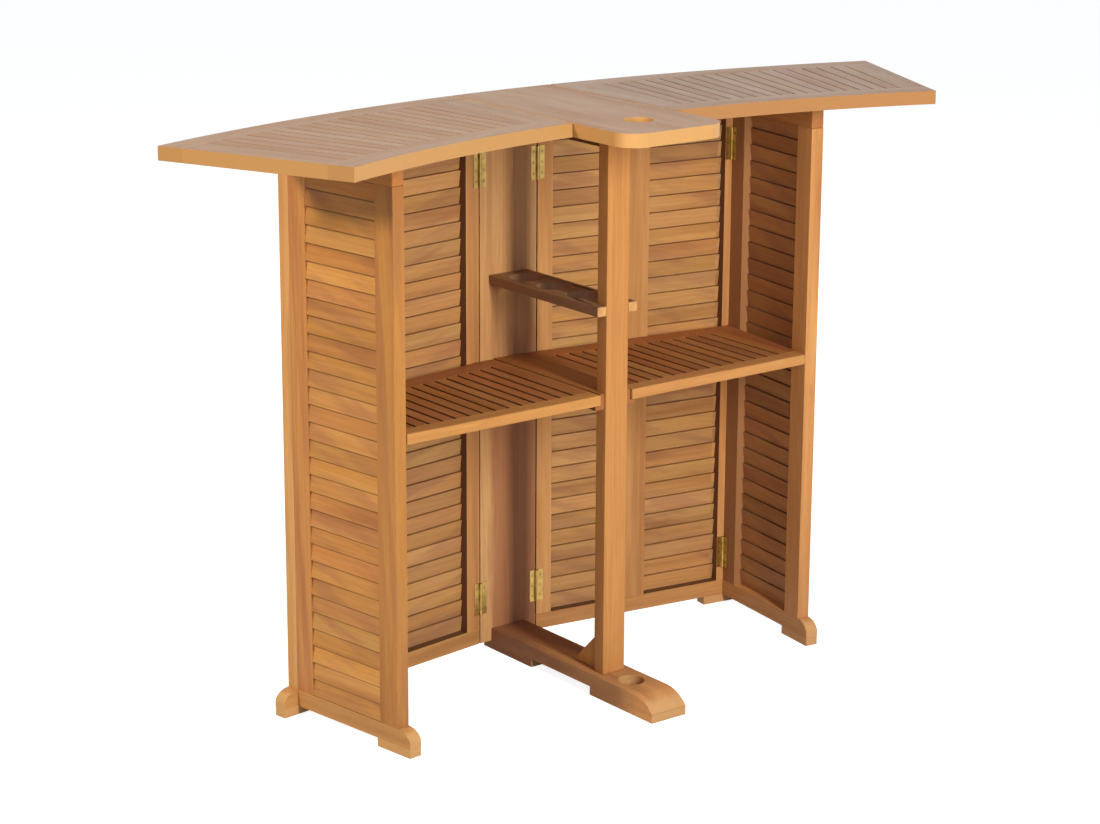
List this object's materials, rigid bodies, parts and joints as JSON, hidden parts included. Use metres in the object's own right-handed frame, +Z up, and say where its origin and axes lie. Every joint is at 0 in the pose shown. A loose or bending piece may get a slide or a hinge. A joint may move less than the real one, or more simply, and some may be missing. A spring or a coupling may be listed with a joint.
{
  "type": "folding bar table",
  "caption": "Folding slatted wooden bar table: curved top with a parasol tongue on a centre post, louvred angled wings, lift-out shelves and a bottle rack.",
  "frame": {"origin": "on the floor under the middle of the bar's bounding box", "axes": "+X along the bar to the server's right, +Y from the server towards the guests, +Z up"},
  "size_m": [1.556, 0.502, 1.05],
  "materials": {
    "teak_frame": "oiled satin teak",
    "teak_slats": "oiled satin teak slats",
    "teak_top": "oiled satin teak top",
    "brass": "satin brass"
  },
  "bodies": {
    "centre_frame": {"back_plank": "teak_frame", "front_post": "teak_frame", "top_rail": "teak_frame", "foot_rail": "teak_frame", "base_foot_pads": "teak_frame", "post_gusset": "teak_frame", "bottle_rack": "teak_frame", "shelf_bearer": "teak_frame", "centre_top": "teak_top", "plank_hinge_leaves": "brass", "plank_hinge_pins": "brass", "plank_hinge_screws": "brass", "leaf_hinge_fixed_leaves": "brass", "leaf_hinge_pins": "brass"},
    "left_wing": {"left_front_top_rail": "teak_frame", "left_front_bottom_rail": "teak_frame", "left_front_stiles": "teak_frame", "left_front_louvres": "teak_slats", "left_side_top_rail": "teak_frame", "left_side_bottom_rail": "teak_frame", "left_side_stiles": "teak_frame", "left_side_louvres": "teak_slats", "left_wing_foot_pads": "teak_frame", "left_shelf_cleat": "teak_frame", "left_wing_hinge_leaves": "brass", "left_corner_hinge_leaves": "brass", "left_corner_hinge_pins": "brass", "left_wing_screws": "brass"},
    "left_leaf": {"left_leaf_far_rim": "teak_top", "left_leaf_near_rim": "teak_top", "left_leaf_end_rails": "teak_top", "left_leaf_slats": "teak_slats", "left_leaf_hinge_leaves": "brass"},
    "left_shelf": {"left_shelf_front_rail": "teak_frame", "left_shelf_back_rail": "teak_frame", "left_shelf_slats": "teak_slats"},
    "right_wing": {"right_front_top_rail": "teak_frame", "right_front_bottom_rail": "teak_frame", "right_front_stiles": "teak_frame", "right_front_louvres": "teak_slats", "right_side_top_rail": "teak_frame", "right_side_bottom_rail": "teak_frame", "right_side_stiles": "teak_frame", "right_side_louvres": "teak_slats", "right_wing_foot_pads": "teak_frame", "right_shelf_cleat": "teak_frame", "right_wing_hinge_leaves": "brass", "right_corner_hinge_leaves": "brass", "right_corner_hinge_pins": "brass", "right_wing_screws": "brass"},
    "right_leaf": {"right_leaf_far_rim": "teak_top", "right_leaf_near_rim": "teak_top", "right_leaf_end_rails": "teak_top", "right_leaf_slats": "teak_slats", "right_leaf_hinge_leaves": "brass"},
    "right_shelf": {"right_shelf_front_rail": "teak_frame", "right_shelf_back_rail": "teak_frame", "right_shelf_slats": "teak_slats"}
  },
  "joints": [
    {"name": "left_wing_swing", "type": "hinge", "parent": "centre_frame", "child": "left_wing", "pos_m": [-0.065, 0.2228, 0], "axis": [0, 0, -1], "range_deg": [0, 8]},
    {"name": "left_leaf_lift", "type": "hinge", "parent": "centre_frame", "child": "left_leaf", "pos_m": [-0.11, 0, 1.0483], "axis": [0, 1, 0], "range_deg": [0, 88]},
    {"name": "left_shelf_lift", "type": "slide", "parent": "centre_frame", "child": "left_shelf", "axis": [0, 0, 1], "range_m": [0, 0.1]},
    {"name": "right_wing_swing", "type": "hinge", "parent": "centre_frame", "child": "right_wing", "pos_m": [0.065, 0.2228, 0], "axis": [0, 0, 1], "range_deg": [0, 8]},
    {"name": "right_leaf_lift", "type": "hinge", "parent": "centre_frame", "child": "right_leaf", "pos_m": [0.11, 0, 1.0483], "axis": [0, -1, 0], "range_deg": [0, 88]},
    {"name": "right_shelf_lift", "type": "slide", "parent": "centre_frame", "child": "right_shelf", "axis": [0, 0, 1], "range_m": [0, 0.1]}
  ]
}
